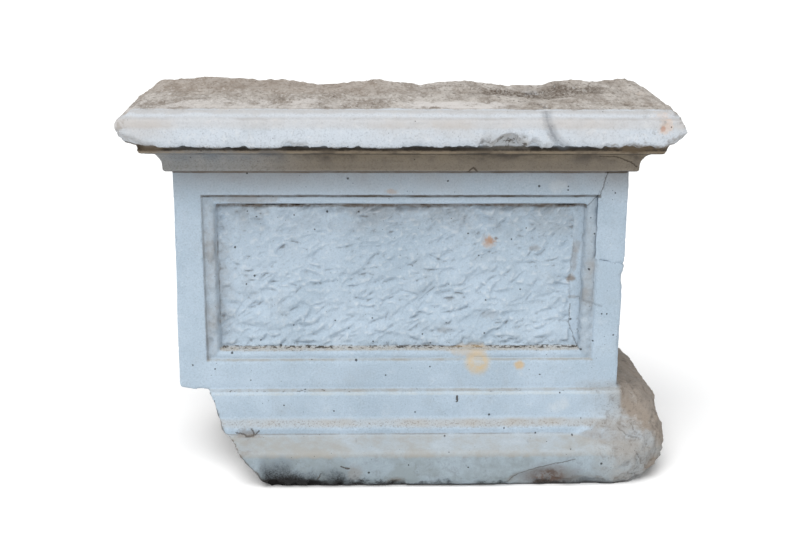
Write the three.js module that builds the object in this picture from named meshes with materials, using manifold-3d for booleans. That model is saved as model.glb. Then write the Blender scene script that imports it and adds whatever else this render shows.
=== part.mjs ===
import * as THREE from 'three';
import { mergeVertices } from 'three/addons/utils/BufferGeometryUtils.js';
import Module from 'manifold-3d';

// Moulded marble pedestal block, broken at the base, in millimetres, +Z up.
// X runs along the panelled front, Y from the front to the plain dressed back.
// The origin is on the underside, below the middle of the die, half way through the depth.

const wasm = await Module();
wasm.setup();

// Die: the plain middle of the block.
const dieWidth = 592;
const dieHeight = 304;
const backDepth = 208;

// Base, read downwards from the die. Every "out" is a projection beyond the die.
const baseHeight = 120;
const fasciaOut = 10;
const fasciaHeight = 36;
const baseHollowHeight = 12;
const baseFilletOut = 20;
const baseFilletHeight = 9;
const ledgeHeight = 10;
const plinthOut = 58;
const plinthEdge = 5;
const plinthUnderOut = 48;
const plinthUnderHeight = 12;

// Cornice, read upwards from the die.
const neckOut = 11;
const neckHeight = 9;
const hollowOut = 22;
const hollowHeight = 17;
const coronaOut = 40;
const coronaHeight = 9;
const soffitRise = 3;
const slabOut = 60;
const slabHeight = 48;
const lipRadius = 7;
const arrisOut = 38;
const arrisDrop = 7;

// Sunk panel on the front of the die.
const stileWidth = 36;
const topRail = 33.5;
const bottomRail = 41;
const frameStep = 5;
const frameSide = 15;
const frameEnd = 12;
const wallSlope = 2.5;
const fieldDepth = 18;
const toolingDepth = 1.6;

// Breaks and wear.
const bedRoughness = 2.2;
const breakRoughness = 4.5;
const stumpOut = 73;
const stumpTop = 2;
const lipChipDepth = 11;

// Refixed corner piece.
const cornerHeight = 126;
const cornerDepth = 58;
const cornerProud = 1;
const jointGap = 0.3;

const half = dieWidth / 2;
const dieTop = baseHeight + dieHeight;
const blockTop = dieTop + neckHeight + hollowHeight + soffitRise + coronaHeight + slabHeight;
const slabFoot = blockTop - slabHeight;
const frontShift = (backDepth - slabOut) / 2;

const clamp = (v, lo, hi) => Math.min(hi, Math.max(lo, v));
const ease = (a, b, v) => {
  const t = clamp((v - a) / (b - a), 0, 1);
  return t * t * (3 - 2 * t);
};
const mix = (a, b, t) => a + (b - a) * t;

// Straight lines through a few hand-placed points [place, value].
const along = (points, v) => {
  if (v <= points[0][0]) return points[0][1];
  for (let i = 1; i < points.length; i++) {
    const [a, p] = points[i - 1];
    const [b, q] = points[i];
    if (v <= b) return mix(p, q, (v - a) / (b - a));
  }
  return points[points.length - 1][1];
};

// Lumpy surface of broken stone: a few crossing waves, between about -1 and 1.
const lumps = (x, y, z) => {
  const a = Math.sin(x / 23 + 1.7 * Math.sin(y / 31 + 0.4) + z / 29);
  const b = Math.sin(y / 17 - z / 21 + 1.3 * Math.sin(x / 37 + 2.1));
  const c = Math.sin((x + y) / 12.5 + z / 9.5 + 2.6);
  return 0.45 * a + 0.35 * b + 0.2 * c;
};

// Closed skin through rings of equal count, each end closed by a fan to its middle.
const loft = (rings) => {
  const n = rings[0].length;
  const points = rings.flat();
  const index = [];
  for (let r = 0; r < rings.length - 1; r++) {
    for (let i = 0; i < n; i++) {
      const a = r * n + i;
      const b = r * n + ((i + 1) % n);
      index.push(a, b, b + n, a, b + n, a + n);
    }
  }
  for (const r of [0, rings.length - 1]) {
    const middle = points.length;
    points.push([0, 1, 2].map((k) => rings[r].reduce((sum, p) => sum + p[k], 0) / n));
    for (let i = 0; i < n; i++) {
      const a = r * n + i;
      const b = r * n + ((i + 1) % n);
      index.push(...(r === 0 ? [b, a, middle] : [a, b, middle]));
    }
  }
  return geometryFrom(points, index);
};
const geometryFrom = (points, index) => {
  const geometry = new THREE.BufferGeometry();
  geometry.setAttribute('position', new THREE.Float32BufferAttribute(points.flat(), 3));
  geometry.setIndex(index);
  return geometry;
};

// Slab between a shaped face and a plain far face: face(u, v) and far(u, v) are points,
// with u and v running from 0 to 1.
const sheet = (nu, nv, face, far) => {
  const points = [];
  const index = [];
  const row = nu + 1;
  for (let side = 0; side < 2; side++) {
    for (let j = 0; j <= nv; j++) {
      for (let i = 0; i <= nu; i++) points.push((side ? far : face)(i / nu, j / nv));
    }
  }
  const back = row * (nv + 1);
  const quad = (a, b, c, d) => index.push(a, b, c, a, c, d);
  for (let j = 0; j < nv; j++) {
    for (let i = 0; i < nu; i++) {
      const a = j * row + i;
      quad(a, a + 1, a + row + 1, a + row);
      quad(back + a + row, back + a + row + 1, back + a + 1, back + a);
    }
  }
  for (let i = 0; i < nu; i++) {
    const top = nv * row + i;
    quad(i + 1, i, back + i, back + i + 1);
    quad(top, top + 1, back + top + 1, back + top);
  }
  for (let j = 0; j < nv; j++) {
    const a = j * row;
    const b = a + nu;
    quad(a, a + row, back + a + row, back + a);
    quad(b + row, b, back + b, back + b + row);
  }
  return geometryFrom(points, index);
};

// Turns a closed skin into a solid for cutting, its faces outwards.
const solid = (geometry) => {
  const clean = geometry.clone();
  clean.deleteAttribute('normal');
  clean.deleteAttribute('uv');
  const merged = mergeVertices(clean, 1e-4);
  const vertProperties = new Float32Array(merged.attributes.position.array);
  const triVerts = new Uint32Array(merged.index.array);
  const at = (i) => new THREE.Vector3().fromArray(vertProperties, 3 * i);
  let volume = 0;
  for (let i = 0; i < triVerts.length; i += 3) {
    volume += at(triVerts[i]).cross(at(triVerts[i + 1])).dot(at(triVerts[i + 2]));
  }
  if (volume < 0) {
    for (let i = 0; i < triVerts.length; i += 3) {
      const held = triVerts[i];
      triVerts[i] = triVerts[i + 1];
      triVerts[i + 1] = held;
    }
  }
  return new wasm.Manifold(new wasm.Mesh({ numProp: 3, vertProperties, triVerts }));
};

const box = (x0, x1, y0, y1, z0, z1) => {
  const geometry = new THREE.BoxGeometry(x1 - x0, y1 - y0, z1 - z0);
  geometry.translate((x0 + x1) / 2, (y0 + y1) / 2, (z0 + z1) / 2);
  return solid(geometry);
};

// Mitred mouldings round the front and both sides; the back stays flat.
const moulded = (profile) => loft(profile.map(([out, z]) => [
  [-half - out, -out, z],
  [half + out, -out, z],
  [half + out, backDepth, z],
  [-half - out, backDepth, z],
]));

const hollowFoot = baseHeight - fasciaHeight;
const filletTop = hollowFoot - baseHollowHeight;
const filletFoot = filletTop - baseFilletHeight;
const ledgeFoot = filletFoot - ledgeHeight;
const hollow = dieTop + neckHeight;
const soffit = hollow + hollowHeight;
const corona = soffit + soffitRise;
const bend = baseFilletOut - fasciaOut;
const profile = [
  [plinthUnderOut - 8, -6],
  [plinthUnderOut, 0],
  [plinthUnderOut + 0.7 * (plinthOut - plinthUnderOut), plinthUnderHeight * 0.45],
  [plinthOut, plinthUnderHeight],
  [plinthOut, ledgeFoot - plinthEdge],
  [plinthOut - 1.5, ledgeFoot - plinthEdge * 0.35],
  [plinthOut - plinthEdge * 0.8, ledgeFoot],
  [baseFilletOut - 1, filletFoot - 2.5],
  [baseFilletOut - 2, filletFoot - 1.5],
  [baseFilletOut, filletFoot],
  [baseFilletOut, filletTop],
  [fasciaOut + bend * 0.8, filletTop + 1.5],
  [fasciaOut + bend * 0.42, filletTop + baseHollowHeight * 0.35],
  [fasciaOut + bend * 0.12, filletTop + baseHollowHeight * 0.7],
  [fasciaOut, hollowFoot],
  [fasciaOut, baseHeight - 4],
  [fasciaOut - 1, baseHeight - 1.5],
  [fasciaOut - 2.5, baseHeight],
  [0, baseHeight],
  [0, dieTop],
  [neckOut - 2.5, dieTop],
  [neckOut, dieTop + 2],
  [neckOut, hollow],
  [neckOut + 0.18 * (hollowOut - neckOut), hollow + hollowHeight * 0.4],
  [neckOut + 0.5 * (hollowOut - neckOut), hollow + hollowHeight * 0.75],
  [hollowOut, soffit],
  [coronaOut - 3.5, corona],
  [coronaOut, slabFoot],
  [slabOut - lipRadius * 0.8, slabFoot + 0.5],
  [slabOut - lipRadius * 0.25, slabFoot + lipRadius * 0.35],
  [slabOut, slabFoot + lipRadius],
  [slabOut, blockTop - arrisDrop - 8],
  [slabOut - 3, blockTop - arrisDrop - 2.5],
  [slabOut - 12, blockTop - arrisDrop],
  [arrisOut + 5, blockTop - 1.5],
  [arrisOut, blockTop],
  [arrisOut - 8, blockTop + 0.5],
  [arrisOut - 12, blockTop + 14],
];
let block = solid(moulded(profile));

// Rough broken bed on top: low swells, a higher rim at the back, one deep dirty hollow.
const backRim = [
  [-324, 1.5], [-271, 3], [-190, 0], [-160, 0.5], [-132, -5.5], [-84, -7.5], [-76, -4],
  [-33, 0], [11, -4.5], [36, -6], [56, -1], [97, -1], [140, -7], [200, -7.5], [225, -1], [325, 2],
];
const bed = (x, y) => {
  const rim = along(backRim, (x / half) * 296) * ease(backDepth * 0.3, backDepth * 0.85, y);
  const dx = (x - half * 0.64) / 46;
  const dy = (y - backDepth * 0.5) / 58;
  const pit = -6 * Math.exp(-dx * dx - dy * dy);
  const edge = ease(-arrisOut + 4, -arrisOut + 30, y);
  return blockTop + rim + edge * (pit + bedRoughness * lumps(x * 1.2, y * 1.3, 40) - 0.6);
};
const topReach = half + slabOut + 10;
const topCut = sheet(
  46,
  16,
  (u, v) => {
    const x = mix(-topReach, topReach, u);
    const y = mix(-slabOut - 10, backDepth + 10, v);
    return [x, y, bed(x, y)];
  },
  (u, v) => [mix(-topReach, topReach, u), mix(-slabOut - 10, backDepth + 10, v), blockTop + 40],
);
block = block.subtract(solid(topCut));

// Sunk panel: a quirk round the frame, the frame, its inner wall and the tooled field.
const panelRing = (inSide, inEnd, y) => {
  const x = half - stileWidth - inSide;
  const z0 = baseHeight + bottomRail + inEnd;
  const z1 = dieTop - topRail - inEnd;
  return [[-x, y, z0], [x, y, z0], [x, y, z1], [-x, y, z1]];
};
const recess = loft([
  panelRing(0, 0, -20),
  panelRing(0, 0, frameStep),
  panelRing(1.5, 1.5, frameStep + 0.6),
  panelRing(frameSide * 0.5, frameEnd * 0.5, frameStep - 1.6),
  panelRing(frameSide - 1.5, frameEnd - 1.5, frameStep - 0.6),
  panelRing(frameSide, frameEnd, frameStep + 0.8),
  panelRing(frameSide + wallSlope, frameEnd + wallSlope, fieldDepth - 3),
]);
block = block.subtract(solid(recess));

// Point-chisel strokes: short furrows rising to the right in staggered rows.
const strokes = (x, z) => {
  const a = x * 0.9 + z * 0.42;
  const b = z * 0.9 - x * 0.42;
  const row = Math.sin(b / 3.9 + 0.9 * Math.sin(a / 33));
  const beat = Math.sin(a / 7.2 + 2.3 * Math.sin(b / 13 + 1.1));
  return 0.62 * row * (0.55 + 0.45 * beat) + 0.38 * Math.sin(a / 15 + b / 9);
};
const fieldX = half - stileWidth - frameSide - wallSlope;
const fieldZ0 = baseHeight + bottomRail + frameEnd + wallSlope;
const fieldZ1 = dieTop - topRail - frameEnd - wallSlope;
const field = sheet(
  62,
  24,
  (u, v) => {
    const x = mix(-fieldX, fieldX, u);
    const z = mix(fieldZ0, fieldZ1, v);
    const rim = Math.min(u, 1 - u, v * 0.41, (1 - v) * 0.41) > 0 ? 1 : 0;
    return [x, fieldDepth + rim * toolingDepth * strokes(x, z), z];
  },
  (u, v) => [mix(-fieldX, fieldX, u), fieldDepth - 8, mix(fieldZ0, fieldZ1, v)],
);
block = block.subtract(solid(field));

// Rough flat-ish break: a lumpy sheet across "middle", facing "way", that removes
// everything beyond it.
const breakAway = (middle, way, wide, tall, beyond, cells, rough, foot = -1000) => {
  const normal = new THREE.Vector3(...way).normalize();
  const spin = Math.abs(normal.z) > 0.8 ? new THREE.Vector3(0, 1, 0) : new THREE.Vector3(0, 0, 1);
  const across = new THREE.Vector3().crossVectors(spin, normal).normalize();
  const up = new THREE.Vector3().crossVectors(normal, across);
  const place = (u, v, lift) => {
    const p = new THREE.Vector3(...middle);
    p.addScaledVector(across, (u - 0.5) * wide);
    p.addScaledVector(up, (v - 0.5) * tall);
    p.addScaledVector(normal, lift);
    return p;
  };
  const face = (u, v) => {
    const p = place(u, v, 0);
    return place(u, v, rough * lumps(p.x * 1.6, p.y * 1.6, p.z * 1.6)).toArray();
  };
  const rows = Math.max(2, Math.round((cells * tall) / wide));
  const cut = solid(sheet(cells, rows, face, (u, v) => place(u, v, beyond).toArray()));
  return foot > -1000 ? cut.subtract(box(-2000, 2000, -2000, 2000, -2000, foot)) : cut;
};

// Chip shelled off an edge: a lumpy squashed ball.
const shell = (middle, size, turn, rough) => {
  const ball = mergeVertices(stripped(new THREE.IcosahedronGeometry(1, 3)), 1e-4);
  const spots = ball.attributes.position;
  const turned = new THREE.Euler(...turn);
  for (let i = 0; i < spots.count; i++) {
    const p = new THREE.Vector3().fromBufferAttribute(spots, i);
    const wave = 1 + rough * lumps(p.x * 50 + middle[0], p.y * 50, p.z * 50 + middle[2]);
    p.multiplyScalar(wave).multiply(new THREE.Vector3(...size)).applyEuler(turned);
    p.add(new THREE.Vector3(...middle));
    spots.setXYZ(i, p.x, p.y, p.z);
  }
  return solid(ball);
};
const stripped = (geometry) => {
  geometry.deleteAttribute('normal');
  geometry.deleteAttribute('uv');
  return geometry;
};

// Right end of the base: the mouldings run out into a rough stump of unbroken stone.
block = block.subtract(breakAway(
  [half + 4, -plinthOut * 0.4, baseHeight / 2 - 20], [1, -0.36, 0], 300, baseHeight + 38, 140, 4, 0,
));
block = block.subtract(box(half + 8, half + 120, -10, backDepth + 10, -20, baseHeight - 0.5));
block = block.subtract(box(half - 2, half + 120, -90, -fasciaOut - 0.5, -20, hollowFoot - 3));

const stumpLevels = [
  // height as a share of the base, inset at the side, inset at the front
  [-0.05, 22, 15],
  [0, 21, 13],
  [0.08, 12, 5],
  [0.2, 2, 0],
  [0.36, 0, 1],
  [0.46, 1.5, 9],
  [0.54, 2, 22],
  [0.61, 3, 32],
  [0.69, 7, 46],
  [0.79, 14, 51],
  [0.9, 32, 52],
  [0.98, 52, 53],
];
const stumpPath = [
  // place along the front or side, and how far the front's section counts
  [-58, -57, 1, 24],
  [-32, -57.5, 1, 9],
  [-8, -58.5, 1, -1],
  [14, -57.5, 0.95, -0.5],
  [33, -51, 0.75, 0],
  [48, -37, 0.45, 0],
  [58, -16, 0.2, 0],
  [65, 10, 0.05, 0],
  [68, 45, 0, 0],
  [69, 85, 0, 0],
  [68, 125, 0, 1],
  [67, 165, 0, 1],
  [63, 204, 0, 3],
];
const stumpRing = (height, side, ahead) => {
  const z = height * baseHeight;
  const points = [];
  for (let i = 0; i < stumpPath.length; i++) {
    const [x, y, weight, sunk] = stumpPath[i];
    const before = stumpPath[Math.max(i - 1, 0)];
    const after = stumpPath[Math.min(i + 1, stumpPath.length - 1)];
    const run = new THREE.Vector2(after[0] - before[0], after[1] - before[1]).normalize();
    const rough = breakRoughness * lumps(x * 1.4 + 300, y * 1.4, z * 1.9) * (1 - weight * 0.6);
    const inset = mix(side, ahead, weight) + sunk - rough;
    const px = half + (x * stumpOut) / 69 - run.y * inset;
    const py = (y < 0 ? (y * plinthOut) / 58 : (y * backDepth) / 208) + run.x * inset;
    const front = mix(-plinthOut, -fasciaOut + 2, ease(0.52, 0.7, height));
    points.push([px, Math.max(py, front + 0.01 * i), z]);
  }
  points.push([half - 36, (backDepth * 204) / 208, z]);
  points.push([half - 60, 4, z]);
  return points;
};
const stumpRings = stumpLevels.map(([height, side, ahead]) => stumpRing(height, side, ahead));
const crown = stumpRings[stumpRings.length - 1].map(([x, y], i) => [
  clamp(x, half - 60, half - 3 + 0.02 * i),
  Math.max(y, 4 + 0.02 * i),
  baseHeight + stumpTop,
]);
stumpRings.push(crown);
block = block.add(solid(loft(stumpRings)));

// Left end of the base: broken away on a slant under an overhanging die.
const leftBreak = [
  // drop below the die as a share of the base, inset from the die's left side
  [0, 41], [0.13, 45.5], [0.27, 51], [0.39, 57], [0.47, 61], [0.51, 71], [0.55, 76],
  [0.63, 81.5], [0.75, 92], [0.82, 102], [0.91, 107], [1.01, 123], [1.06, 129],
];
const leftFace = (u, v) => {
  const fall = mix(0, 1.06, v);
  const y = mix(-plinthOut - 12, backDepth + 10, u);
  const calm = ease(0, 0.12, fall) * (0.25 + 0.75 * ease(-plinthOut, 0, y));
  const rough = breakRoughness * lumps(y * 1.3, fall * 170, 12) * calm;
  const z = baseHeight * (1 - fall);
  return [-half + along(leftBreak, fall) - 0.11 * (y + plinthOut) + rough + 1, y, z];
};
const leftCut = sheet(14, 18, leftFace, (u, v) => [-half - slabOut - 30, leftFace(u, v)[1], leftFace(u, v)[2]]);
block = block.subtract(solid(leftCut));

// Broken lower corners of the cornice slab, and the worn upper right corner.
block = block.subtract(breakAway(
  [-half - 34, -slabOut + 2, slabFoot + 14], [-0.5, -0.42, -1.05], 130, 110, 60, 9, 1.6, slabFoot - 0.5,
));
block = block.subtract(breakAway(
  [half + 46, -slabOut + 6, slabFoot + 13], [0.55, -0.5, -0.95], 110, 110, 60, 9, 1.8, slabFoot - 0.5,
));
block = block.subtract(breakAway(
  [half + 54, backDepth * 0.45, slabFoot + 6], [0.8, -0.05, -1], 240, 70, 50, 12, 1.8,
));
block = block.subtract(breakAway(
  [half + 58, backDepth * 0.4, blockTop - 13], [1, -0.04, 0.55], 330, 60, 50, 12, 1.2,
));
block = block.subtract(breakAway(
  [-half - 58, backDepth * 0.4, blockTop - 8], [-1, 0.09, 0.8], 330, 60, 50, 12, 1.6,
));

// Chips along the front lip of the slab.
const lip = (x, wide, high, deep, tilt) => shell(
  [x * (half / 296), -slabOut - 2, slabFoot - 1], [wide, deep, high], [0, tilt, 0], 0.12,
);
block = block.subtract(lip(134, 27, 15, lipChipDepth, 0.05));
block = block.subtract(lip(-134, 19, 8.5, lipChipDepth * 0.7, 0));
block = block.subtract(lip(158, 30, 9, lipChipDepth * 0.9, -0.1));
block = block.subtract(lip(106, 18, 8, lipChipDepth * 0.7, 0.2));
block = block.subtract(lip(262, 36, 7, lipChipDepth * 0.8, 0.06));
block = block.subtract(lip(-90, 14, 5, lipChipDepth * 0.5, 0));
block = block.subtract(lip(30, 24, 4.5, lipChipDepth * 0.5, 0));

// Chips on the die's corners and along the foot of the plinth.
block = block.subtract(breakAway(
  [-half + 3, 0, baseHeight + 3.5], [-0.35, -0.1, -1], 60, 500, 40, 4, 0.6,
));
block = block.subtract(shell([180, -plinthOut - 3, 4], [44, 11, 27], [0, -0.22, 0], 0.1));
block = block.subtract(shell([250, -plinthOut - 3, -2], [40, 14, 16], [0, 0.1, 0], 0.14));
block = block.subtract(shell([-168, -plinthOut - 4, -4], [26, 14, 17], [0, 0.3, 0], 0.14));
block = block.subtract(shell([-112, -plinthOut - 4, -4], [24, 10, 11], [0, 0, 0], 0.14));
block = block.subtract(shell([-20, -plinthOut - 4, -5], [50, 10, 10], [0, 0, 0], 0.14));
block = block.subtract(shell([96, -plinthOut - 4, -5], [30, 10, 9], [0, 0, 0], 0.14));

// Seat of the refixed corner, and the corner piece inside it with a thin joint all round.
const stileEdge = half - stileWidth;
const cornerFoot = dieTop - cornerHeight;
const cornerRing = (gap, y, lean, right) => [
  [stileEdge + 9, cornerFoot + 3.5],
  [half - 6, cornerFoot],
  [right, cornerFoot - 0.15 * (right - half + 6)],
  [right, dieTop],
  [stileEdge + 6.7, dieTop],
  [stileEdge, dieTop - topRail + 2],
  [stileEdge, cornerFoot + 7],
].map(([x, z]) => {
  const low = z < cornerFoot + 5;
  const left = x < stileEdge + 8;
  const pz = low ? z + gap : Math.min(z, dieTop - gap);
  return [left ? x + gap : x, y - lean * (half - x), pz];
});
const seat = loft([cornerRing(0, -20, 0, half + 30), cornerRing(0, cornerDepth, 0.4, half + 30)]);
block = block.subtract(solid(seat));
let corner = solid(loft([
  cornerRing(jointGap, 0, 0, half + cornerProud),
  cornerRing(jointGap, cornerDepth - jointGap * 1.2, 0.4, half + cornerProud),
]));
corner = corner.subtract(breakAway(
  [half - 0.5, -0.5, dieTop - 30], [1, -1, 0.08], 14, 300, 20, 2, 0.5,
));
block = block.subtract(shell([half + 7, 2, cornerFoot - 18], [10, 22, 26], [0, 0, 0], 0.1));

// Everything stands on a flat sawn underside.
block = block.subtract(box(-half - 200, half + 200, -300, backDepth + 200, -80, 0));

const geometryOf = (body) => {
  const mesh = body.getMesh();
  const geometry = new THREE.BufferGeometry();
  const points = new Float32Array(mesh.vertProperties);
  geometry.setAttribute('position', new THREE.BufferAttribute(points, 3));
  geometry.setIndex(new THREE.BufferAttribute(new Uint32Array(mesh.triVerts), 1));
  geometry.translate(0, -frontShift, 0);
  return geometry;
};

// The largest body of a cut stone: crumbs that a break leaves free are dropped.
const largest = (body) => {
  const bodies = body.decompose();
  bodies.sort((a, b) => b.getMesh().triVerts.length - a.getMesh().triVerts.length);
  return bodies[0];
};

const marble = new THREE.MeshStandardMaterial({ color: 0xc9cfd4, roughness: 0.72, metalness: 0 });
const cornerMarble = new THREE.MeshStandardMaterial({ color: 0xced6de, roughness: 0.7, metalness: 0 });

const part = new THREE.Group();
part.name = 'column_base';
for (const [name, body, material] of [
  ['block', largest(block), marble],
  ['refixed_corner', largest(corner), cornerMarble],
]) {
  const mesh = new THREE.Mesh(geometryOf(body), material);
  mesh.name = name;
  part.add(mesh);
}

export default part;
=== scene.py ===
import math

import bpy
import numpy as np
from mathutils import Matrix, Vector
from mathutils.bvhtree import BVHTree


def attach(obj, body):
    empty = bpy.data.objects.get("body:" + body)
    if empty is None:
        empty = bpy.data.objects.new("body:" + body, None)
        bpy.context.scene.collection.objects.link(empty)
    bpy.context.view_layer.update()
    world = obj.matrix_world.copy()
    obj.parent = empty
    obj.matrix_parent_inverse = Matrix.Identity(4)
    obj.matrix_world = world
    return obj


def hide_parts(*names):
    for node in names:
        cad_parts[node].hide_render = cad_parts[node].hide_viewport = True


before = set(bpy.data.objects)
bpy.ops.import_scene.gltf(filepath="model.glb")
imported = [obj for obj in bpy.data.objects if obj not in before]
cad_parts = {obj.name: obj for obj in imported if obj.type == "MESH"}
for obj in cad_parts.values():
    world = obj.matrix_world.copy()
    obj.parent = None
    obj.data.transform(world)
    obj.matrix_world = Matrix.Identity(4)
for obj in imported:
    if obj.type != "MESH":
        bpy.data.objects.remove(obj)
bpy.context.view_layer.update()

# Places on the block in millimetres. Y here is counted from the die's front face, and
# SHIFT takes it to the frame's own Y.
SHIFT = 74.0
HALF = 296.0
BASE = 120.0
DIE_TOP = 424.0
SLAB_FOOT = 462.0
TOP = 510.0
BACK = 208.0
FIELD = 18.0
FIELD_X = 242.5
FIELD_Z = (175.5, 376.0)
FRAME_X = 261.0
VOXEL = 2.1
PIT = (190.0, 118.0)
PIT_OVAL = 0.55

# Kinds of surface a corner can lie on.
PLAIN, BROKEN, PANEL = 0, 1, 2

# Raster of the tooled field: one cell in millimetres, the cells of its rim, and the
# number of chisel strokes on it.
CELL = 0.5
RIM = 40
STROKES = 1500

BLOCK_TRIANGLES = 192000
CORNER_TRIANGLES = 12000
SHARP_ANGLE = 62


# ---------------------------------------------------------------- noise

def hashed(i, j, k, seed):
    h = (i * 73856093) ^ (j * 19349663) ^ (k * 83492791) ^ (seed * 2654435)
    h = (h ^ (h >> 13)) * 1274126177 & 0x7FFFFFFF
    return (h ^ (h >> 16)) / float(0x7FFFFFFF)


def noise(points, scale, seed=0):
    """Smooth value noise between -1 and 1, one lump about every scale millimetres."""
    q = points / scale
    cell = np.floor(q).astype(np.int64)
    f = q - cell
    f = f * f * (3 - 2 * f)
    total = 0
    for a in (0, 1):
        wa = f[:, 0] if a else 1 - f[:, 0]
        for b in (0, 1):
            wb = f[:, 1] if b else 1 - f[:, 1]
            for c in (0, 1):
                wc = f[:, 2] if c else 1 - f[:, 2]
                total = total + wa * wb * wc * hashed(cell[:, 0] + a, cell[:, 1] + b, cell[:, 2] + c, seed)
    return 2 * total - 1


def fbm(points, scale, octaves, seed=0):
    """Value noise summed over octaves, each about half the size and height of the last."""
    total, size, weight = 0, scale, 1.0
    for k in range(octaves):
        total = total + weight * noise(points + 17.3 * k, size, seed + k)
        size, weight = size / 2.07, weight * 0.5
    return total


def ease(a, b, v):
    t = np.clip((v - a) / (b - a), 0, 1)
    return t * t * (3 - 2 * t)


# ---------------------------------------------------------------- mesh tools

def arrays_of(obj):
    """Corners and triangles of a node in millimetres, with doubled corners merged."""
    mesh = obj.data
    mesh.calc_loop_triangles()
    co = np.empty(len(mesh.vertices) * 3)
    mesh.vertices.foreach_get("co", co)
    tri = np.empty(len(mesh.loop_triangles) * 3, dtype=np.int64)
    mesh.loop_triangles.foreach_get("vertices", tri)
    co = co.reshape(-1, 3) * 1000 + (0, SHIFT, 0)
    grid = np.round(co * 2000).astype(np.int64)
    first, back = np.unique(grid, axis=0, return_index=True, return_inverse=True)[1:]
    tri = back.reshape(-1)[tri].reshape(-1, 3)
    keep = (tri[:, 0] != tri[:, 1]) & (tri[:, 1] != tri[:, 2]) & (tri[:, 2] != tri[:, 0])
    return co[first], tri[keep]


def edges_of(tri):
    e = np.sort(np.concatenate([tri[:, [0, 1]], tri[:, [1, 2]], tri[:, [2, 0]]]), 1)
    n = int(tri.max()) + 1
    key = np.unique(e[:, 0] * n + e[:, 1])
    return np.stack([key // n, key % n], 1)


def mesh_from(name, co, tri):
    """Triangle mesh from millimetre corners."""
    mesh = bpy.data.meshes.new(name)
    mesh.vertices.add(len(co))
    mesh.vertices.foreach_set("co", ((co - (0, SHIFT, 0)) / 1000).astype(np.float32).ravel())
    mesh.loops.add(tri.size)
    mesh.loops.foreach_set("vertex_index", tri.astype(np.int32).ravel())
    mesh.polygons.add(len(tri))
    mesh.polygons.foreach_set("loop_start", np.arange(0, tri.size, 3, dtype=np.int32))
    mesh.update(calc_edges=True)
    return mesh


def solved(obj, **modifier):
    """Mesh of an object once one modifier has worked on it."""
    step = obj.modifiers.new("step", modifier.pop("type"))
    for key, value in modifier.items():
        setattr(step, key, value)
    done = obj.evaluated_get(bpy.context.evaluated_depsgraph_get())
    mesh = bpy.data.meshes.new_from_object(done)
    obj.modifiers.clear()
    return mesh


def arrays_kept(mesh):
    """Corners in millimetres and triangles, as they are."""
    co = np.empty(len(mesh.vertices) * 3)
    mesh.vertices.foreach_get("co", co)
    mesh.calc_loop_triangles()
    tri = np.empty(len(mesh.loop_triangles) * 3, dtype=np.int64)
    mesh.loop_triangles.foreach_get("vertices", tri)
    return co.reshape(-1, 3) * 1000 + (0, SHIFT, 0), tri.reshape(-1, 3)


def evened(co, tri):
    """Small regular faces over a solid, and what kind of surface each corner lies on."""
    obj = bpy.data.objects.new("even", mesh_from("even", co, tri))
    bpy.context.scene.collection.objects.link(obj)
    even = solved(obj, type="REMESH", mode="VOXEL", voxel_size=VOXEL / 1000, adaptivity=0.0)
    bpy.data.objects.remove(obj)
    fine, cells = arrays_kept(even)
    t = co[tri]
    face = np.cross(t[:, 1] - t[:, 0], t[:, 2] - t[:, 0])
    face /= np.maximum(np.linalg.norm(face, axis=1), 1e-9)[:, None]
    middle = t.mean(1)
    in_field = (
        (np.abs(middle[:, 0]) < FIELD_X + 1) & (middle[:, 2] > FIELD_Z[0] - 1)
        & (middle[:, 2] < FIELD_Z[1] + 1) & (middle[:, 1] > 14.5) & (middle[:, 1] < 21)
        & (face[:, 1] < -0.3)
    )
    broken = (np.abs(face[:, 0]) > 0.008) & (np.abs(face[:, 1]) > 0.008) & ~in_field
    kind = np.where(in_field, PANEL, np.where(broken, BROKEN, PLAIN))
    tree = BVHTree.FromPolygons(co.tolist(), tri.tolist())
    nearest = np.array([tree.find_nearest(p)[2] for p in fine.tolist()])
    return fine, cells, kind[nearest]


def normals_of(co, tri):
    t = co[tri]
    face = np.cross(t[:, 1] - t[:, 0], t[:, 2] - t[:, 0])
    out = np.stack([
        sum(np.bincount(tri[:, k], face[:, axis], len(co)) for k in range(3)) for axis in range(3)
    ], 1)
    return out / np.maximum(np.linalg.norm(out, axis=1), 1e-9)[:, None]


def degree_of(edges, count):
    """Number of neighbours of each corner, and at least 1."""
    degree = np.bincount(edges[:, 0], minlength=count) + np.bincount(edges[:, 1], minlength=count)
    return np.maximum(degree, 1)


def spread(values, edges, count, times):
    """Averages a value over neighbours a few times."""
    degree = degree_of(edges, count)
    for _ in range(times):
        near = np.bincount(edges[:, 0], values[edges[:, 1]], count)
        near = near + np.bincount(edges[:, 1], values[edges[:, 0]], count)
        values = 0.5 * values + 0.5 * near / degree
    return values


def bulge(co, edges, normals):
    """How far each corner's neighbours lie in front of it: below 0 on an outer edge."""
    count = len(co)
    near = np.stack([
        np.bincount(edges[:, 0], co[edges[:, 1], k], count)
        + np.bincount(edges[:, 1], co[edges[:, 0], k], count) for k in range(3)
    ], 1)
    return ((near / degree_of(edges, count)[:, None] - co) * normals).sum(1)


def melted(co, edges, weight, times):
    """Smooths the shape itself where weight is above 0."""
    count = len(co)
    degree = degree_of(edges, count)[:, None]
    held = (weight[edges] > 0).any(1)
    a, b = edges[held].T
    for _ in range(times):
        near = np.stack([
            np.bincount(a, co[b, k], count) + np.bincount(b, co[a, k], count) for k in range(3)
        ], 1)
        co = np.where(weight[:, None] > 0, co + (near / degree - co) * weight[:, None], co)
    return co


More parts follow.
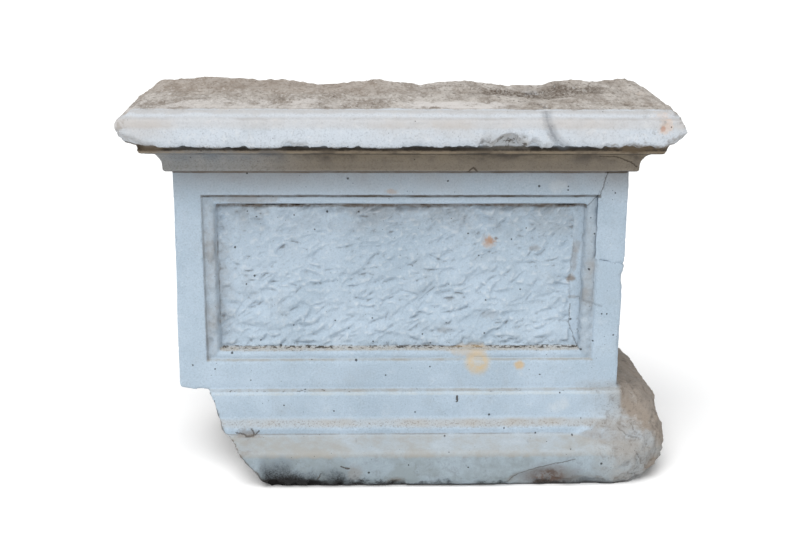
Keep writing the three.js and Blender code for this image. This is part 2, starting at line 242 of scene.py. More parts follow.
def refined(co, tri, chosen):
    """Halves every edge whose two ends are chosen."""
    pairs = np.sort(np.stack([tri, np.roll(tri, -1, 1)], 2), 2)
    split = chosen[pairs].all(2)
    keys = pairs[:, :, 0].astype(np.int64) * len(co) + pairs[:, :, 1]
    once = np.unique(keys[split])
    middle = len(co) + np.searchsorted(once, keys)
    co = np.concatenate([co, (co[once // len(co)] + co[once % len(co)]) / 2])
    whole, part = split.all(1), split.sum(1) == 1
    (a, b, c), (m, n, k) = tri[whole].T, middle[whole].T
    parts = [tri[~split.any(1)]]
    parts += [np.stack(t, 1) for t in ((a, m, k), (m, b, n), (k, n, c), (m, n, k))]
    for side in range(3):
        here = part & split[:, side]
        a, b, c = np.roll(tri[here], -side, 1).T
        m = middle[here, side]
        parts += [np.stack((a, m, c), 1), np.stack((m, b, c), 1)]
    return co, np.concatenate(parts), len(once)


# ---------------------------------------------------------------- tooling of the panel

def tooling_map():
    """Height of the point-chisel work on the field, on a half-millimetre raster."""
    rng = np.random.default_rng(11)
    wide = int(2 * FIELD_X / CELL) + 2 * RIM
    tall = int((FIELD_Z[1] - FIELD_Z[0]) / CELL) + 2 * RIM
    deep = np.zeros((tall, wide))
    for _ in range(STROKES):
        cx, cz = rng.uniform(0, wide), rng.uniform(0, tall)
        long = (7 + 12 * rng.random() ** 1.5) / CELL
        half = min(rng.uniform(3.5, 9.5), long * CELL * 0.62) / CELL
        turn = math.radians(rng.normal(22, 22))
        depth = (0.3 + 1.7 * rng.random() ** 1.6) * (half * CELL / 4.5) ** 0.8
        bend = rng.uniform(-0.7, 0.5)
        x0, x1 = int(max(cx - long - 4, 0)), int(min(cx + long + 5, wide))
        z0, z1 = int(max(cz - long - 4, 0)), int(min(cz + long + 5, tall))
        if x1 <= x0 or z1 <= z0:
            continue
        zz, xx = np.mgrid[z0:z1, x0:x1]
        u = ((xx - cx) * math.cos(turn) + (zz - cz) * math.sin(turn)) / long
        v = (-(xx - cx) * math.sin(turn) + (zz - cz) * math.cos(turn)) / half + bend * (u * u - 0.3)
        taper = np.clip(1 - u * u, 0, 1) ** 0.7
        rise = np.clip((v + 1) / 1.5, 0, 1) ** 1.2
        wall = np.clip((1 - v) / 0.65, 0, 1)
        cut = depth * taper * rise * wall
        patch = deep[z0:z1, x0:x1]
        patch[:] = np.where(cut > patch, 0.25 * patch + 0.75 * cut + 0.25 * np.minimum(patch, cut), patch)
    kernel = np.array([1, 2, 1]) / 4
    for _ in range(2):
        deep = np.apply_along_axis(lambda r: np.convolve(r, kernel, "same"), 0, deep)
        deep = np.apply_along_axis(lambda r: np.convolve(r, kernel, "same"), 1, deep)
    return deep


def tooled(x, z):
    deep = tooling_map()
    u = np.clip((x + FIELD_X) / CELL + RIM, 1, deep.shape[1] - 2)
    v = np.clip((z - FIELD_Z[0]) / CELL + RIM, 1, deep.shape[0] - 2)
    i, j = u.astype(int), v.astype(int)
    fu, fv = u - i, v - j
    a = deep[j, i] * (1 - fu) + deep[j, i + 1] * fu
    b = deep[j + 1, i] * (1 - fu) + deep[j + 1, i + 1] * fu
    return a * (1 - fv) + b * fv


# ---------------------------------------------------------------- the two stones

def chips(x, spots):
    """Sum of rounded bites [place, half width, height] along a line."""
    out = np.zeros(len(x))
    for place, half, high in spots:
        out = np.maximum(out, high * np.clip(1 - ((x - place) / half) ** 2, 0, 1) ** 1.1)
    return out


def carve(co, tri, seed):
    """Wear, broken surfaces, tooling and chips over a solid."""
    co, tri, kind = evened(co, tri)
    if (kind == PANEL).any():
        co, tri, more = refined(co, tri, kind == PANEL)
        kind = np.concatenate([kind, np.full(more, PANEL)])
    count = len(co)
    edges = edges_of(tri)
    field = kind == PANEL
    rough = spread((kind == BROKEN).astype(float), edges, count, 3)
    rough[field] = 0
    x, y, z = co.T

    # The base's mouldings run out softly into the stump of stone at the right.
    blend = ease(222, 312, x) * ease(345, 325, x) * ease(118, 104, z) * ease(0, -8, y) * 0.9
    co = melted(co, edges, blend * (z > 1), 110)

    # Rounded, unevenly worn outer edges.
    worn = 0.45 + 0.55 * ease(-0.35, 0.45, fbm(co, 46, 2, seed))
    worn *= z > 1.5
    normals = normals_of(co, tri)
    sharp = spread(np.clip(-bulge(co, edges, normals) / 0.45, 0, 1), edges, count, 1)
    for _ in range(2):
        out = bulge(co, edges, normals)
        co = co + normals * (np.where(out < -0.03, out, 0) * 0.5 * worn * ~field)[:, None]
        normals = normals_of(co, tri)
    bites = ease(0.3, 0.62, fbm(co, 15, 3, seed + 9)) + 0.5 * ease(0.35, 0.7, noise(co, 6, seed + 3))
    depth = -2.3 * sharp * bites * (1 - rough) * (z > 1.5)

    # Broken stone: lumps, ridges and grain.
    top = ease(TOP - 16, TOP - 9, co[:, 2])
    lumpy = (2.6 - 1.2 * top) * fbm(co, 38, 3, seed + 20) + 2.4 * (0.5 - np.abs(fbm(co, 17, 3, seed + 30)))
    grain = 0.75 * noise(co, 5.5, seed + 40)
    px, py = co[:, 0], co[:, 1]
    pit = ease(78, 36, np.hypot((px - PIT[0]) * PIT_OVAL, py - PIT[1]))
    stump = ease(HALF + 4, HALF + 22, px) * ease(BASE + 12, BASE, co[:, 2])
    fissure = np.clip(1 - np.abs(fbm(co * (1, 1, 0.8), 26, 3, seed + 33)) / 0.09, 0, 1)
    lumpy = lumpy + stump * (1.6 * fbm(co, 14, 2, seed + 34) - 2.2 * fissure)
    loose = ease(0.5, 0.85, noise(co, 6.5, seed + 45)) * (0.35 + 0.65 * pit)
    loose = loose * ease(0.0, 0.5, noise(co, 60, seed + 46) + pit)
    grain = grain + top * 3.2 * loose
    calm = ease(0.5, 7, z) * np.where(y > BACK - 0.6, 0.3, 1)
    depth = depth + rough * (lumpy + grain) * calm
    # Hand-worked faces are never quite flat.
    depth = depth + (1 - rough) * 0.42 * fbm(co, 70, 2, seed + 50) * ease(0.5, 5, z) * ~field
    back = ease(BACK - 1, BACK - 0.2, co[:, 1])
    depth = depth + back * (0.9 * fbm(co, 45, 3, seed + 60) - 0.6) * ease(1, 8, z)
    co = co + normals * depth[:, None]

    if field.any():
        x, z = co[field, 0], co[field, 2]
        margin = ease(FIELD_X - 15, FIELD_X - 12.5, x + 1.5 * noise(co[field], 22, seed + 5))
        edge = np.minimum.reduce([FIELD_X - np.abs(x), z - FIELD_Z[0], FIELD_Z[1] - z])
        fade = (0.25 + 0.75 * ease(0, 5, edge)) * (1 - 0.85 * margin)
        flat = co[field] * (1, 0, 1.4)
        swell = 2.4 * fbm(flat, 34, 2, seed + 6) + 1.1 * (0.4 - np.abs(noise(flat, 15, seed + 66)))
        fine = 0.42 * noise(co[field], 4.5, seed + 7) + 0.2 * noise(co[field], 2.4, seed + 8)
        co[field, 1] = FIELD - 2.3 + 2.6 * tooled(x, z) * fade + swell * (1 - margin) + fine + 1.2 * margin
    return co, tri, rough


def break_lip(co):
    """Lower lip of the cornice slab, chewed away unevenly along the front."""
    x, y, z = co.T
    spots = [
        (-134, 17, 8), (-104, 13, 3.2), (-60, 20, 2.2), (22, 24, 2.6), (75, 14, 3), (108, 17, 8),
        (132, 27, 18), (160, 14, 8), (196, 20, 3), (224, 12, 2.6), (258, 9, 4.2), (283, 13, 5.5),
        (306, 12, 6), (-205, 15, 2), (-260, 20, 2),
    ]
    line = np.stack([x, 0 * x, 0 * x], 1)
    wave = chips(x + 3 * noise(line, 11, 73), spots) * (0.75 + 0.5 * noise(line, 9, 74))
    wave += 1.8 * ease(-0.5, 0.8, fbm(line, 75, 4, 71)) + 1.8 * ease(0, 0.7, noise(line, 7, 75))
    wave += 1.4 * ease(-0.2, 0.7, noise(co * (1, 0.3, 0.3), 4, 76))
    reach = ease(-41, -47, y) * ease(SLAB_FOOT + 26, SLAB_FOOT + 3, z) * ease(SLAB_FOOT - 3, SLAB_FOOT, z)
    co[:, 2] += wave * reach
    co[:, 1] += 0.35 * wave * reach * ease(SLAB_FOOT + 14, SLAB_FOOT, z)
    inward = 2.6 * ease(-286, -295, x) * ease(DIE_TOP, BASE + 10, z)
    co[:, 0] -= inward * (z > BASE - 2) * ease(DIE_TOP + 1, DIE_TOP - 2, z)
    rise = (27 * ease(290, 364, x) ** 1.2 + 1.5 * noise(co, 9, 95) * ease(296, 306, x)) * ease(6, -24, y)
    co[:, 2] = np.where(x > 296, np.maximum(z, rise), z)
    foot = ease(-46, -52, y) * ease(16, 4, z) * (z > 0.4)
    nibble = ease(-0.1, 0.6, fbm(np.stack([x, 0 * x, 0 * x], 1), 19, 3, 88))
    co[:, 2] += 4.2 * nibble * foot
    co[:, 1] += 2.4 * nibble * foot
    return co


def close_joint(co):
    """Fine joint of the refixed corner: its hidden sides reach out towards the block."""
    x, y, z = co.T
    front = ease(4, 0.5, y)
    left, low = ease(275, 264, x), ease(312, 300, z)
    co[:, 0] -= (0.8 + 2.9 * front) * left
    co[:, 2] -= (0.6 + 1.0 * front) * low
    return co


def stone(name, source, seed, budget, extra):
    """One finished stone over a solid, with what its material reads from each corner."""
    co, tri = arrays_of(source)
    co, tri, rough = carve(co, tri, seed)
    co = extra(co)
    co[:, 2] = np.maximum(co[:, 2], 0)
    mesh = mesh_from(name, co, tri)
    mark = mesh.attributes.new("broken", "FLOAT", "POINT")
    mark.data.foreach_set("value", rough.astype(np.float32))
    obj = bpy.data.objects.new(name, mesh)
    bpy.context.scene.collection.objects.link(obj)
    if len(tri) > budget:
        obj.data = solved(obj, type="DECIMATE", ratio=budget / len(tri))
    mesh = obj.data
    mesh.polygons.foreach_set("use_smooth", np.ones(len(mesh.polygons), dtype=bool))
    mesh.set_sharp_from_angle(angle=math.radians(SHARP_ANGLE))

    # How far each corner lies in a hollow or stands out on an outer edge, stored for the material: hollows
    # hold dirt, and raised ridges of the field get a painted highlight.
    co, tri = arrays_kept(mesh)
    edges, normals = edges_of(tri), normals_of(co, tri)
    close = bulge(co, edges, normals)
    wide = spread(close, edges, len(co), 3)
    hollow = np.clip(0.5 + 0.55 * close + 1.1 * wide, 0, 1)
    mark = mesh.attributes.new("hollow", "FLOAT", "POINT")
    mark.data.foreach_set("value", hollow.astype(np.float32))
    print(name, "triangles", len(tri))
    return obj


block = stone("block_stone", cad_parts["block"], 1, BLOCK_TRIANGLES, break_lip)
corner = stone("corner_stone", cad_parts["refixed_corner"], 5, CORNER_TRIANGLES, close_joint)


# ---------------------------------------------------------------- material

# Share of a surface's shown brightness that is its own colour under these lights.
DIM = 0.74


class Val:
    """A number or colour in the material's nodes, written with ordinary sums."""

    def __init__(self, net, socket):
        self.net, self.socket = net, socket

    def __add__(self, other):
        return self.net.math("ADD", self, other)

    def __radd__(self, other):
        return self.net.math("ADD", other, self)

    def __sub__(self, other):
        return self.net.math("SUBTRACT", self, other)

    def __rsub__(self, other):
        return self.net.math("SUBTRACT", other, self)

    def __mul__(self, other):
        return self.net.math("MULTIPLY", self, other)

    def __rmul__(self, other):
        return self.net.math("MULTIPLY", self, other)

    def __truediv__(self, other):
        return self.net.math("DIVIDE", self, other)


class Net:
    def __init__(self, tree):
        self.tree = tree

    def plug(self, socket, value):
        if isinstance(value, Val):
            self.tree.links.new(value.socket, socket)
        elif value is not None:
            socket.default_value = value

    def node(self, kind, inputs=(), **settings):
        n = self.tree.nodes.new(kind)
        for key, value in settings.items():
            setattr(n, key, value)
        for key, value in dict(inputs).items():
            self.plug(n.inputs[key], value)
        return n

    def math(self, op, *values):
        n = self.node("ShaderNodeMath", operation=op)
        for socket, value in zip(n.inputs, values):
            self.plug(socket, value)
        return Val(self, n.outputs[0])

    def maximum(self, a, b):
        return self.math("MAXIMUM", a, b)

    def ease(self, a, b, value):
        n = self.node("ShaderNodeMapRange", {"Value": value, "From Min": a, "From Max": b},
                      interpolation_type="SMOOTHSTEP", clamp=False)
        return Val(self, n.outputs["Result"])

    def mix(self, factor, a, b):
        n = self.node("ShaderNodeMix", data_type="RGBA")
        self.plug(n.inputs[0], factor)
        self.plug(n.inputs[6], a)
        self.plug(n.inputs[7], b)
        return Val(self, n.outputs[2])

    def noise(self, vector, scale, detail=3, rough=0.55, warp=0.0):
        n = self.node("ShaderNodeTexNoise", {
            "Vector": vector, "Scale": scale, "Detail": detail, "Roughness": rough,
            "Distortion": warp,
        })
        return Val(self, n.outputs["Fac"])


def grey(r, g, b):
    """A colour read off as display values 0 to 255, as the stone's own linear colour."""
    def lin(v):
        v /= 255
        return v / 12.92 if v <= 0.04045 else ((v + 0.055) / 1.055) ** 2.4
    return (DIM * lin(r), DIM * lin(g), DIM * lin(b), 1)


# Places of the larger dark specks on the front [x, z], by their size.
SPECKS = (
    (2.1, [
        (-195, 277), (-98, 364), (-162, 177), (-60, 161), (250, 289), (-70, 413), (179, 403),
        (269, 34), (121, 86), (-43, 23), (-227, 171), (231, 214), (-220, 316), (245, 175),
    ]),
    (1.5, [
        (-141, 360), (-191, 357), (-114, 341), (-206, 266), (-144, 206), (-88, 213), (-189, 185),
        (-37, 183), (-56, 364), (-38, 216), (241, 199), (161, 257), (30, 193), (114, 195),
        (89, 335), (147, 327), (104, 304), (115, 241), (62, 210), (260, 188), (255, 338),
        (-129, 120), (-158, 101), (-280, 156), (279, 394), (217, 403), (217, 398), (270, 227),
        (277, 227), (287, 197), (217, 117), (184, 63), (172, 57), (234, 61), (228, 54), (141, 70),
        (40, 152), (-20, 140), (190, 140), (-250, 150), (20, 90), (-90, 92), (60, 60), (-60, 58),
        (90, 30), (10, 34), (-200, 420), (60, 410),
    ]),
)


SHARED = ("x", "y", "z", "up", "hollow", "broken", "cloud", "patch", "fine", "grain", "front", "jx", "jz")


class Paint(Net):
    """One group of painted layers, with the shared values as its inputs."""

    def __init__(self, name):
        super().__init__(bpy.data.node_groups.new(name, "ShaderNodeTree"))
        sockets = self.tree.interface
        sockets.new_socket(name="colour", in_out="INPUT", socket_type="NodeSocketColor")
        sockets.new_socket(name="place", in_out="INPUT", socket_type="NodeSocketVector")
        for key in SHARED:
            sockets.new_socket(name=key, in_out="INPUT", socket_type="NodeSocketFloat")
        sockets.new_socket(name="colour", in_out="OUTPUT", socket_type="NodeSocketColor")
        given = self.tree.nodes.new("NodeGroupInput").outputs
        self.colour, self.place = Val(self, given["colour"]), Val(self, given["place"])
        for key in SHARED:
            setattr(self, key, Val(self, given[key]))

    def lay(self, mask, tint):
        """Covers what is there with a colour, as far as the mask says."""
        self.colour = self.mix(mask, self.colour, tint if isinstance(tint, Val) else grey(*tint))

    def band(self, value, low, high, soft=2.0, ragged=0.0):
        """1 between low and high, with soft and if wanted ragged limits."""
        if ragged:
            value = value + (self.fine - 0.5) * ragged + (self.patch - 0.5) * ragged
        return self.ease(low - soft, low + soft, value) * self.ease(high + soft, high - soft, value)

    def spot(self, cx, cz, rx, rz, ragged=1.0):
        """Blotch with a frayed edge on the front."""
        dx, dz = (self.x - cx) / rx, (self.z - cz) / rz
        far = self.math("SQRT", dx * dx + dz * dz)
        far = far + (self.patch - 0.5) * (2.2 * ragged) + (self.fine - 0.5) * (2.0 * ragged)
        return self.ease(1.15, 0.35, far) * self.front

    def crack(self, points, width):
        """Thin wandering line through points on the front."""
        far = None
        for (ax, az), (bx, bz) in zip(points, points[1:]):
            ux, uz = bx - ax, bz - az
            long = ux * ux + uz * uz
            t = self.math("MULTIPLY_ADD", self.jx - ax, ux / long, (self.jz - az) * (uz / long))
            t = self.math("MINIMUM", self.math("MAXIMUM", t, 0.0), 1.0)
            dx, dz = self.jx - ax - t * ux, self.jz - az - t * uz
            d = dx * dx + dz * dz
            far = d if far is None else self.math("MINIMUM", far, d)
        return self.ease(width, width * 0.3, self.math("SQRT", far)) * self.front

    def speckle(self, size, spots):
        """Dots of one size at the given places on the front."""
        flat = self.node("ShaderNodeCombineXYZ", {
            "X": self.jx * 0.35 + self.x * 0.65, "Z": self.jz * 0.35 + self.z * 0.65,
        })
        flat, far = Val(self, flat.outputs[0]), None
        for sx, sz in spots:
            d = self.node("ShaderNodeVectorMath", {0: flat, 1: (sx, 0, sz)}, operation="DISTANCE")
            d = Val(self, d.outputs["Value"])
            far = d if far is None else self.math("MINIMUM", far, d)
        return self.ease(size, size * 0.5, far) * self.front * self.ease(24, 20, self.y)

    def done(self):
        out = self.tree.nodes.new("NodeGroupOutput")
        self.tree.links.new(self.colour.socket, out.inputs["colour"])
        return self.tree


def clean_stone_and_slab_light(p):
    # Clean stone: bluish white, a little clouded; the slab's face is painted whiter, as painted light, for
    # the brighter light it gets above the die's shade.
    p.colour = p.mix(p.ease(0.35, 0.65, p.cloud), grey(186, 205, 221), grey(200, 218, 234))
    slab = p.ease(SLAB_FOOT - 1, SLAB_FOOT + 5, p.z)
    # Painted light: the slab's face is painted whiter than the die.
    p.lay(slab * 0.85, (224, 231, 239))
    p.lay(slab * p.ease(0.5, 0.66, p.grain) * 0.14, (166, 168, 174))
    p.lay(slab * p.ease(0.47, 0.34, p.fine) * 0.4, (242, 244, 246))
    p.lay(p.ease(0.5, 0.75, p.patch) * 0.35, (178, 186, 192))
    p.lay(p.ease(0.42, 0.3, p.patch) * 0.4, (222, 232, 240))
    p.lay(p.ease(0.48, 0.7, p.grain) * 0.32, (138, 146, 152))
    p.lay(p.ease(0.46, 0.3, p.grain) * 0.4, (230, 238, 244))

    far = p.ease(30, 90, p.y)
    p.lay(far * (0.2 + p.ease(0.38, 0.66, p.cloud) * 0.4), (186, 183, 178))
    p.lay(far * p.ease(0.5, 0.7, p.patch) * 0.3, (152, 146, 138))

    # Slab: a line under the worn upper arris, a warm band below it.
    outer = p.ease(-35, -42, p.y)
    warm = p.band(p.z, 490, 501.5, 3, 5) * (0.3 + p.ease(0.35, 0.65, p.cloud) * 0.45)
    p.lay(warm * outer, (208, 203, 199))
    line = p.band(p.z, 500.2, 502.2, 1.4, 2.4) * (0.1 + p.ease(0.4, 0.62, p.patch) * 0.4)
    p.lay(line * outer, (168, 160, 154))
    p.lay(p.ease(484, 500, p.z) * outer * 0.25, (196, 192, 189))
    p.lay(p.ease(504, 508, p.z + (p.patch - 0.5) * 10) * outer * 0.5, (186, 181, 176))


def settled_dirt_shade_and_highlight(p):
    # Dirt on the base: plinth greyer, ledges and the hollow beige; painted shade in the quirk and a
    # painted highlight along the top arris.
    low = p.ease(56, 44, p.z)
    p.lay(low * (0.58 + p.ease(0.4, 0.62, p.patch) * 0.3), (148, 159, 162))
    p.lay(low * p.ease(0.5, 0.66, p.fine) * 0.35, (124, 128, 130))
    ledge = p.band(p.z, 45, 62, 2.5, 6)
    p.lay(ledge * (0.4 + p.ease(0.35, 0.65, p.patch) * 0.4), (176, 172, 163))
    hollow_foot = p.band(p.z, 72, 81, 3, 4)
    p.lay(hollow_foot * (0.35 + p.ease(0.4, 0.7, p.cloud) * 0.45), (180, 172, 160))
    p.lay(p.band(p.z, 71, 79, 2, 3) * p.ease(0.52, 0.62, p.grain) * 0.5, (132, 120, 106))
    # Painted shade: a darker line in the quirk under the bead.
    quirk_shade = p.band(p.z, 61.8, 63.4, 0.8, 1.5) * p.ease(-12, -17, p.y) * p.ease(250, 170, p.x)
    p.lay(quirk_shade * p.ease(0.35, 0.55, p.patch) * 0.6, (132, 124, 114))
    joint = p.band(p.z, BASE - 0.8, BASE + 1.2, 0.8, 0.8) * p.ease(4, 0, p.y)
    p.lay(joint * (0.3 + p.ease(0.4, 0.6, p.patch) * 0.35), (170, 162, 148))
    p.lay(joint * p.ease(0.6, 0.66, p.fine) * 0.8, (88, 78, 66))
    # Painted highlight along the base's upper arris.
    lit = p.band(p.z, BASE - 5, BASE - 1.2, 1.2, 1.5)
    p.lay(lit * (0.1 + p.ease(0.4, 0.6, p.patch) * 0.25), (214, 214, 204))

    # Brown film under the cornice, in bands, with painted shade: darker towards the slab, with painted
    # shadow lines under its lip, below the corona and at the neck; film and painted shade run down the top
    # rail.
    shade = p.band(p.z, DIE_TOP + 1, SLAB_FOOT + 1, 1.5)
    # Painted shade: the film is painted darker upwards, under the slab's overhang.
    deep = p.ease(DIE_TOP + 6, SLAB_FOOT - 12, p.z)
    film_with_shade = p.mix(p.ease(0.34, 0.6, p.patch), grey(66, 53, 38), grey(126, 112, 91))
    film_with_shade = p.mix(deep * 0.8 + 0.2, grey(148, 137, 121), film_with_shade)
    p.lay(shade * (0.7 + p.ease(-250, -90, p.x) * 0.26), film_with_shade)
    p.lay(shade * p.ease(0.5, 0.64, p.grain) * 0.3, (84, 72, 58))
    crown = p.band(p.z, SLAB_FOOT - 8, SLAB_FOOT - 1.5, 0.8, 1.2)
    p.lay(crown * (0.3 + p.ease(0.4, 0.6, p.patch) * 0.45), (154, 138, 116))
    # Painted shadow: dark lines below the corona and right under the slab's lip.
    corona_shadow = p.band(p.z, SLAB_FOOT - 12.4, SLAB_FOOT - 9.2, 0.8, 1.2)
    corona_shadow = corona_shadow * (0.75 + p.ease(0.4, 0.6, p.patch) * 0.25)
    lip_shadow = p.band(p.z, SLAB_FOOT - 4.4, SLAB_FOOT + 3.4, 1.4, 4.0)
    lip_shadow = lip_shadow * (0.75 + p.ease(0.35, 0.6, p.patch) * 0.25)
    p.lay(p.maximum(corona_shadow, lip_shadow), (36, 28, 19))
    # Painted shadow: a dark line on the die just under the neck.
    neck_shadow = p.band(p.z, DIE_TOP - 3.6, DIE_TOP + 1.4, 0.7, 1.0) * p.ease(4, 1, p.y)
    p.lay(neck_shadow * (0.8 + p.ease(0.35, 0.6, p.patch) * 0.2), (50, 40, 30))
    # Brown film and painted shade on the top rail, darker towards the cornice.
    rail_film_and_shade = p.ease(DIE_TOP - 50, DIE_TOP, p.z) * p.ease(DIE_TOP + 3, DIE_TOP, p.z) * p.ease(60, -10, p.y)
    p.lay(rail_film_and_shade * (0.28 + p.ease(0.35, 0.65, p.cloud) * 0.35), (140, 130, 120))
    rusty = p.band(p.z, SLAB_FOOT + 14, SLAB_FOOT + 34, 8) * p.ease(-35, -42, p.y)
    p.lay(rusty * p.ease(0.42, 0.66, p.cloud) * 0.35, (200, 190, 180))


def panel_dirt_shade_and_highlight(p):
    # Panel: painted shadow under its head and along the frame's top and left edges, dirt towards its head
    # and down its left side, on its foot and in some tool marks, and a painted highlight on raised tool
    # marks.
    near = p.ease(60, 45, p.y)
    inside = p.band(p.x, -FIELD_X - 1, FIELD_X + 1, 1) * p.band(p.z, FIELD_Z[0] - 3, FIELD_Z[1] + 3, 1)
    inside = inside * p.ease(12, 15, p.y) * near
    cavity = p.ease(0.62, 0.98, p.hollow)
    p.lay(inside * cavity * (0.08 + p.ease(0.42, 0.6, p.patch) * 0.5), (104, 98, 92))
    # Painted highlight on the raised ridges of the tool marks.
    p.lay(inside * p.ease(0.46, 0.05, p.hollow) * 0.5, (236, 244, 250))
    ledges = p.ease(BASE + 10, BASE + 16, p.z) * p.ease(DIE_TOP + 2, DIE_TOP - 4, p.z)
    p.lay((1 - inside) * cavity * ledges * (0.04 + p.ease(0.4, 0.6, p.fine) * 0.14), (152, 144, 134))
    wide = p.band(p.x, -FIELD_X - 2, FIELD_X + 2, 1) * near
    # Painted shadow: a brown line under the panel's head, in the frame's shade.
    head_shadow = p.band(p.z, FIELD_Z[1] - 5, FIELD_Z[1] + 2, 1.8, 3) * wide * p.ease(7, 11, p.y)
    p.lay(head_shadow * (0.55 + p.ease(0.4, 0.6, p.fine) * 0.4), (92, 78, 64))
    above = p.ease(FIELD_Z[1] - 60, FIELD_Z[1], p.z) * 0.42
    haze = inside * p.maximum(above, p.ease(-FIELD_X + 30, -FIELD_X, p.x) * 0.5)
    p.lay(haze * p.ease(0.35, 0.62, p.patch), (142, 138, 134))
    # Painted shadow: a dark line under the step at the frame's upper outer edge.
    frame_top_shadow = p.band(p.z, 387.2, 391.2, 0.9, 1.2) * p.band(p.x, -FRAME_X, FRAME_X, 1) * p.ease(10, 6, p.y)
    p.lay(frame_top_shadow * (0.6 + p.ease(0.4, 0.6, p.patch) * 0.35), (84, 72, 58))
    # Painted shade: greyer strips in the grooves at the frame's outer sides, kept to the left side.
    sides = p.maximum(
        p.band(p.x, -FRAME_X, 2.5 - FRAME_X, 1.0, 1.2), p.band(p.x, FRAME_X - 2.5, FRAME_X, 1.0, 1.2)
    )
    sides = sides * p.band(p.z, 162, 391, 1) * near
    p.lay(sides * p.ease(180, 100, p.x) * (0.25 + p.ease(0.35, 0.6, p.patch) * 0.3), (136, 132, 126))
    base = p.band(p.z, 160.5, 163, 1.2, 1.4) * p.band(p.x, -FRAME_X, FRAME_X, 1) * p.ease(8, 3, p.y)
    p.lay(base * (0.25 + p.ease(0.4, 0.6, p.patch) * 0.4), (166, 158, 142))
    foot = p.band(p.z, FIELD_Z[0] - 6, FIELD_Z[0] + 1, 1.5, 2) * wide * p.ease(5, 9, p.y)
    p.lay(foot * (0.5 + p.ease(0.35, 0.6, p.fine) * 0.3), (202, 195, 183))
    p.lay(foot * p.ease(0.5, 0.62, p.grain) * 0.6, (128, 116, 102))
    flat = p.node("ShaderNodeMapping", {"Vector": p.place, "Scale": (0.55, 1.0, 1.0)})
    bits = p.noise(Val(p, flat.outputs[0]), 270.0, 4, 0.65)
    line = p.band(p.z, FIELD_Z[0] - 1.2, FIELD_Z[0] + 1.8, 1.0, 1.5) * p.ease(9, 13, p.y)
    p.lay(p.ease(0.5, 0.56, bits) * line * wide * 0.9, (58, 50, 42))
    loose = p.band(p.z, FIELD_Z[0] - 6, FIELD_Z[0] + 8, 3, 3) * p.ease(5, 9, p.y)
    p.lay(p.ease(0.64, 0.68, bits) * loose * wide * 0.85, (70, 62, 54))


def broken_stone(p):
    # Broken stone of the stump and of the slab's ends.
    beyond = p.x + (p.patch - 0.5) * 60 + (p.fine - 0.5) * 20
    stump = p.ease(HALF - 60, HALF + 16, beyond) * p.ease(136, 122, p.z)
    line = (beyond - HALF - 4) * 0.7 + (p.z - 66) * 0.9 + (p.cloud - 0.5) * 50
    high = p.ease(14, 34, line) * p.ease(HALF, HALF + 8, p.x)
    p.lay(stump * (0.6 + p.ease(0.35, 0.65, p.patch) * 0.25), (180, 182, 182))
    p.lay(high * p.ease(140, 126, p.z) * 0.85, (158, 143, 127))
    p.lay(high * p.ease(0.5, 0.7, p.fine) * 0.5, (118, 104, 90))
    p.lay(stump * p.ease(0.52, 0.66, p.fine) * 0.45, (118, 112, 107))
    p.lay(stump * p.ease(0.44, 0.34, p.fine) * 0.3, (206, 206, 204))
    p.lay(stump * p.ease(0.52, 0.66, p.grain) * 0.4, (116, 108, 102))
    p.lay(stump * p.ease(0.62, 0.95, p.hollow) * 0.5, (104, 92, 80))
    edge = p.ease(0.1, 0.5, p.broken) * p.ease(-140, -160, p.x) * p.ease(BASE + 4, BASE - 4, p.z)
    p.lay(edge * 0.7, (96, 88, 80))
    p.lay(p.broken * (0.15 + p.ease(0.4, 0.65, p.patch) * 0.4), (158, 152, 145))

    # Soiled bed on top.
    inward = p.y + (p.patch - 0.5) * 34 + (p.grain - 0.5) * 8
    bed = p.ease(0.25, 0.6, p.up) * p.ease(TOP - 16, TOP - 8, p.z) * p.ease(-40, -30, inward)
    flow = p.node("ShaderNodeMapping", {"Vector": p.place, "Scale": (1.2, 0.5, 1.0)})
    soiled = p.noise(Val(p, flow.outputs[0]), 36.0, 8, 0.72)
    crumb = p.noise(Val(p, flow.outputs[0]), 210.0, 5, 0.7)
    soil = p.mix(p.ease(0.36, 0.62, soiled), grey(158, 147, 136), grey(206, 199, 191))
    soil = p.mix(p.ease(0.5, 0.66, crumb) * 0.6, soil, grey(112, 100, 88))
    soil = p.mix(p.ease(0.62, 0.68, crumb) * 0.7, soil, grey(70, 60, 50))
    soil = p.mix(p.ease(0.46, 0.34, crumb) * p.ease(0.4, 0.56, p.cloud) * 0.8, soil, grey(232, 229, 226))
    soil = p.mix(p.ease(0.6, 0.95, p.hollow) * 0.5, soil, grey(108, 96, 84))
    p.lay(bed * 0.93, soil)
    dx, dy = (p.x - PIT[0]) * PIT_OVAL, p.y - PIT[1]
    pit = p.math("SQRT", dx * dx + dy * dy) + (p.patch - 0.5) * 110
    p.lay(bed * p.ease(66, 34, pit) * (0.35 + p.ease(0.4, 0.6, crumb) * 0.5), (98, 86, 74))
    pale = p.band(p.y, -34, 24, 10, 40) * p.band(p.x, 5, 135, 20, 40) * p.ease(0.37, 0.5, soiled)
    left = p.band(p.y, -34, 30, 10, 60) * p.ease(-40, -120, p.x) * p.ease(0.4, 0.54, soiled)
    p.lay(bed * p.maximum(pale * 0.85, left * 0.5), (230, 226, 223))
    warm = p.ease(60, 130, p.y + (p.patch - 0.5) * 90) * p.ease(60, -60, p.x)
    p.lay(bed * warm * 0.4, (158, 142, 128))
    seam = p.band(p.y, -33.5, -30, 1.2, 2.5) * p.ease(TOP - 7, TOP - 3, p.z)
    p.lay(seam * p.ease(0.42, 0.6, p.patch) * 0.6, (124, 112, 104))
    ends = p.ease(322, 352, p.math("ABSOLUTE", p.x)) * p.ease(SLAB_FOOT - 12, SLAB_FOOT, p.z)
    ends = ends * p.ease(TOP - 4, TOP - 12, p.z)
    p.lay(ends * p.ease(0.46, 0.62, p.fine) * 0.5, (150, 138, 126))


